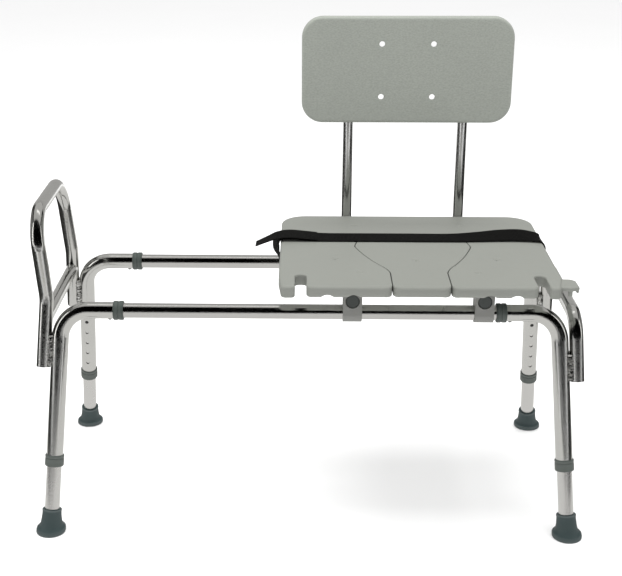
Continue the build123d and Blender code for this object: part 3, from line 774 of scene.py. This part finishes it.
def backrest():
    corner_r, bore_dx, bore_dz = 39 * MM, 47 * MM, 48.5 * MM
    half_w = (back_high.x - back_low.x) / 2
    half_h = (back_high.z - back_low.z) / 2
    points = [
        Vector((-half_w, -half_h)), Vector((half_w, -half_h)),
        Vector((half_w, half_h)), Vector((-half_w, half_h)),
    ]
    outline = rounded(points, [corner_r] * 4, 16)
    panel = slab("backrest_shell", outline, 0.0, panel_t, 4 * MM, 5.5 * MM, 6)
    upright = Matrix.Rotation(pi / 2, 4, "X")
    middle = Vector(
        ((back_low.x + back_high.x) / 2, back_low.y + panel_t, (back_low.z + back_high.z) / 2)
    )
    panel.data.transform(Matrix.Translation(middle) @ upright)
    combine(panel, [post_channel(side) for side in ("left", "right")], "UNION")
    bores = [
        panel_bore(middle + Vector((sx * bore_dx, 0.0, sz * bore_dz)))
        for sx in (-1, 1) for sz in (-1, 1)
    ]
    combine(panel, bores, "DIFFERENCE")
    shade_smooth(panel)
    finish_piece(panel, "seat", "back_plastic", "backrest")


# =====================================================================
# Feet and welds
# =====================================================================

def leg_axis(where):
    """Point on the floor and unit vector up the leg's axis."""
    low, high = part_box(f"foot_{where}")
    collar_low, collar_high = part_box(f"leg_collar_{where}")
    collar = (collar_low + collar_high) / 2
    flange = Vector((low.x + high.x, low.y + high.y, 0.0)) / 2
    return flange, (collar - flange).normalized()


def foot(where):
    """Rubber foot: flat flange on the floor, flared neck in line with the leg."""
    base, up = leg_axis(where)
    profile = (
        (23.5, 0.0), (25.0, 0.6), (25.5, 2.0), (25.5, 5.5), (25.0, 7.4), (23.6, 8.8),
        (21.8, 9.8), (20.3, 11.6), (19.2, 14.2), (18.2, 18.0), (17.4, 23.0), (16.7, 30.0),
        (16.4, 35.0), (16.9, 36.5), (16.8, 38.6), (15.9, 39.5), (13.6, 39.3),
    )
    # rings lie flat up to flat_z and square to the leg from lean_z
    flat_z, lean_z = 8.0, 30.0
    turn = Vector((0, 0, 1)).rotation_difference(up)
    segments = 48
    rings = []
    for radius, z in profile:
        share = min(1.0, max(0.0, (z - flat_z) / (lean_z - flat_z)))
        centre = base + up * (z * MM / up.z)
        ring = []
        for k in range(segments):
            t = 2 * pi * k / segments
            flat = Vector((cos(t), sin(t), 0.0)) * radius * MM
            ring.append(centre + flat.lerp(turn @ flat, share))
        rings.append(ring)
    obj = skin(f"foot_shell_{where}", rings)
    shade_smooth(obj, 50)
    finish_piece(obj, f"extension_{where}", "foot_rubber", f"foot_{where}")


def weld_bead(name, start, direction, outward, length, radius, seed):
    """A hand-laid bead: overlapping ripples, a little uneven."""
    step, pitch, segments = 0.5 * MM, 4.2 * MM, 16
    fade, wander_by, flat, wide, lag_by = 2.2 * MM, 0.9 * MM, 0.85, 1.15, 0.35
    side = direction.cross(outward).normalized()
    rings = []
    for i in range(int(length / step) + 1):
        s = i * step
        phase = (s / pitch) % 1.0
        ripple = 0.68 + 0.40 * (1 - phase) ** 0.5 if phase > 0.08 else 0.80
        end = min(1.0, s / fade + 0.35, (length - s) / fade + 0.35)
        wander = noise.noise(Vector((s * 180, seed, 0.0)))
        swell = 1.0 + 0.16 * noise.noise(Vector((s * 320, seed, 7.0)))
        centre = start + direction * s + side * wander * wander_by
        ring = []
        for k in range(segments):
            t = 2 * pi * k / segments
            lump = 1.0 + 0.34 * noise.noise(Vector((s * 900, k * 0.7, seed)))
            size = radius * ripple * end * swell * lump
            lag = (cos(t) ** 2) * pitch * lag_by
            offset = outward * (cos(t) * size * flat) + side * (sin(t) * size * wide)
            ring.append(centre + offset - direction * lag * end)
        rings.append(ring)
    obj = skin(name, rings)
    shade_smooth(obj, 60)
    finish_piece(obj, "frame", "weld")
    return obj


def welds():
    """A bead on the front and rear of every joint between a leg and the tube beside it."""
    leg_r, bead_r, past_leg, off_axis = 14.3 * MM, 4.9 * MM, 0.8 * MM, 7.6 * MM
    for number, (sx, sy, where) in enumerate(corners):
        base, up = leg_axis(where)
        low_z, length = (0.271, 0.044) if sx > 0 else (0.289, 0.052)
        foot_of_bead = base + up * (low_z / up.z)
        for face in (-1, 1):
            start = foot_of_bead + Vector((sx * (leg_r + past_leg), face * off_axis, 0.0))
            outward = Vector((0.0, face, 0.0))
            outward = (outward - up * outward.dot(up)).normalized()
            name = f"weld_{where}_{'front' if face < 0 else 'rear'}"
            weld_bead(name, start, up, outward, length, bead_r, number * 2 + face)
    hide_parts("weld_beads")


# =====================================================================
# Safety strap
# =====================================================================

def smooth_path(points, steps=10):
    """Points along a smooth curve through these ones."""
    path = []
    ends = [points[0]] + list(points) + [points[-1]]
    for i in range(len(points) - 1):
        a, b, c, d = (ends[i + j] for j in range(4))
        for k in range(steps):
            t = k / steps
            path.append(
                0.5 * ((2 * b) + (c - a) * t + (2 * a - 5 * b + 4 * c - d) * t * t
                       + (3 * b - a - 3 * c + d) * t * t * t)
            )
    path.append(points[-1].copy())
    return path


def ribbon(name, centre, across, width, thickness, lanes=12):
    """Webbing that follows centre, with its width along across at each point. UVs in metres."""
    bm = bmesh.new()
    uv_layer = bm.loops.layers.uv.new("UVMap")
    profile = []
    for k in range(lanes + 1):
        profile.append((-0.5 + k / lanes, 0.5))
    for k in range(lanes + 1):
        profile.append((0.5 - k / lanes, -0.5))
    rings = []
    lengths = [0.0]
    for a, b in zip(centre, centre[1:]):
        lengths.append(lengths[-1] + (b - a).length)
    for i, at in enumerate(centre):
        before = centre[max(0, i - 1)]
        after = centre[min(len(centre) - 1, i + 1)]
        along = (after - before).normalized()
        side = across[i].normalized()
        side = (side - along * side.dot(along)).normalized()
        up = side.cross(along) * -1.0
        ring = []
        for u, v in profile:
            selvedge = 1.0 if abs(u) < 0.46 else 0.55
            ring.append(bm.verts.new(at + side * (u * width) + up * (v * thickness * selvedge)))
        rings.append(ring)
    count = len(profile)
    for i in range(len(rings) - 1):
        for k in range(count):
            m = (k + 1) % count
            face = bm.faces.new((rings[i][k], rings[i][m], rings[i + 1][m], rings[i + 1][k]))
            places = ((i, k), (i, m), (i + 1, m), (i + 1, k))
            for loop, (row, column) in zip(face.loops, places):
                loop[uv_layer].uv = (lengths[row], profile[column][0] * width)
    bm.faces.new(list(reversed(rings[0])))
    bm.faces.new(rings[-1])
    bmesh.ops.recalc_face_normals(bm, faces=bm.faces)
    obj = mesh_object(name, bm)
    shade_smooth(obj, 50)
    return obj, lengths[-1]


def strap_piece(name, points, width, thickness, steps=12):
    """Webbing along (x, y, z, tilt, swing) points, in metres and degrees: tilt lifts its
    rear edge, swing moves that edge to the right."""
    path = smooth_path([Vector((x, y, z)) for x, y, z, _, _ in points], steps)
    turns = smooth_path([Vector((tilt, swing, 0.0)) for *_, tilt, swing in points], steps)
    across = []
    for turn in turns:
        tilt, swing = radians(turn.x), radians(turn.y)
        across.append(Vector((cos(tilt) * sin(swing), cos(tilt) * cos(swing), sin(tilt))))
    obj, length = ribbon(name, path, across, width, thickness)
    obj.data.materials.append(materials["strap_webbing"])
    print(name, "length", round(length, 4))
    return obj, length


def strap():
    """Webbing across the seat: left half, right half and the loose tail at the left."""
    width, thickness = 48 * MM, 1.7 * MM
    lift = thickness / 2 + 0.3 * MM
    top = seat_top + lift
    under = seat_low - lift
    left, right = seat_left, seat_right
    rivet_l, rivet_r = at_seat(-204, 0).x, at_seat(204, 0).x
    y = (strap_low.y + strap_high.y) / 2
    left_points = [
        (rivet_l + 0.014, y, under, 0, 0), (rivet_l, y, under, 0, 0),
        (left + 0.024, y, under - 0.0050, 0, 0), (left + 0.006, y, seat_low - 0.0135, 0, -6),
        (left - 0.004, y, seat_low - 0.0135, 0, -12), (left - 0.0080, y, seat_low - 0.006, 0, -15),
        (left - 0.0085, y, seat_low + 0.006, 0, -15), (left - 0.0065, y, top - 0.0035, 0, -12),
        (left + 0.002, y, top + 0.0028, 0, -5),
        (left + 0.018, y, top + 0.0042, 0, 0), (left + 0.050, y, top + 0.0015, 0, 0),
        (left + 0.090, y, top, 0, 0), (left + 0.160, y, top, 0, 0), (seat_x, y, top, 0, 0),
    ]
    right_points = [
        (seat_x, y, top, 0, 0), (seat_x + 0.075, y, top + 0.0002, 0, 0),
        (seat_x + 0.125, y + 0.002, top + 0.0022, 3, 0),
        (right - 0.075, y + 0.004, top + 0.0040, 6.5, 0),
        (right - 0.040, y + 0.004, top + 0.0048, 8, 0),
        (right - 0.016, y + 0.002, top + 0.0030, 5, -2),
        (right - 0.0035, y - 0.001, top + 0.0002, 2, -3),
        (right + 0.0024, y - 0.002, seat_top - 0.0060, 0, -3),
        (right + 0.0028, y - 0.002, seat_low + 0.005, 0, -2),
        (right - 0.003, y, under - 0.0012, 0, 0), (right - 0.014, y, under - 0.0006, 0, 0),
        (rivet_r, y, under, 0, 0), (rivet_r - 0.014, y, under, 0, 0),
    ]
    for name, points, side in (("strap_left", left_points, -1), ("strap_right", right_points, 1)):
        obj, length = strap_piece(name, points, width, thickness)
        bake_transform(obj)
        if side < 0:
            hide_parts("safety_strap")
    tail_points = [
        (left + 0.066, y, top + 0.0020, 0, 0), (left + 0.044, y, top + 0.0042, 0, 0),
        (left + 0.016, y, top + 0.0064, 0, 0), (left - 0.006, y - 0.001, top + 0.0040, -1, 0),
        (left - 0.024, y - 0.002, top - 0.0030, -3, 2),
        (left - 0.045, y - 0.003, top - 0.0120, -5, 4),
    ]
    obj, length = strap_piece("strap_tail", tail_points, width, thickness, 10)
    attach(obj, "seat")


# =====================================================================
# CAD nodes that stay: materials and softened edges
# =====================================================================

def dress_frame():
    for node, obj in nodes.items():
        slot = slot_of[node]
        obj.data.materials.clear()
        obj.data.materials.append(materials[slot])
    edge_widths = {"rail_collar": 0.5 * MM, "leg_collar": 0.5 * MM, "slide_bracket": 1.2 * MM}
    for _, _, where in corners:
        for name, width in edge_widths.items():
            soften_node(f"{name}_{where}", width)


camera()
studio()
floor()
reflectors()
dress_frame()
seat_pan()
seat_insert()
hose_hook()
backrest()
for _, _, where in corners:
    foot(where)
welds()
strap()
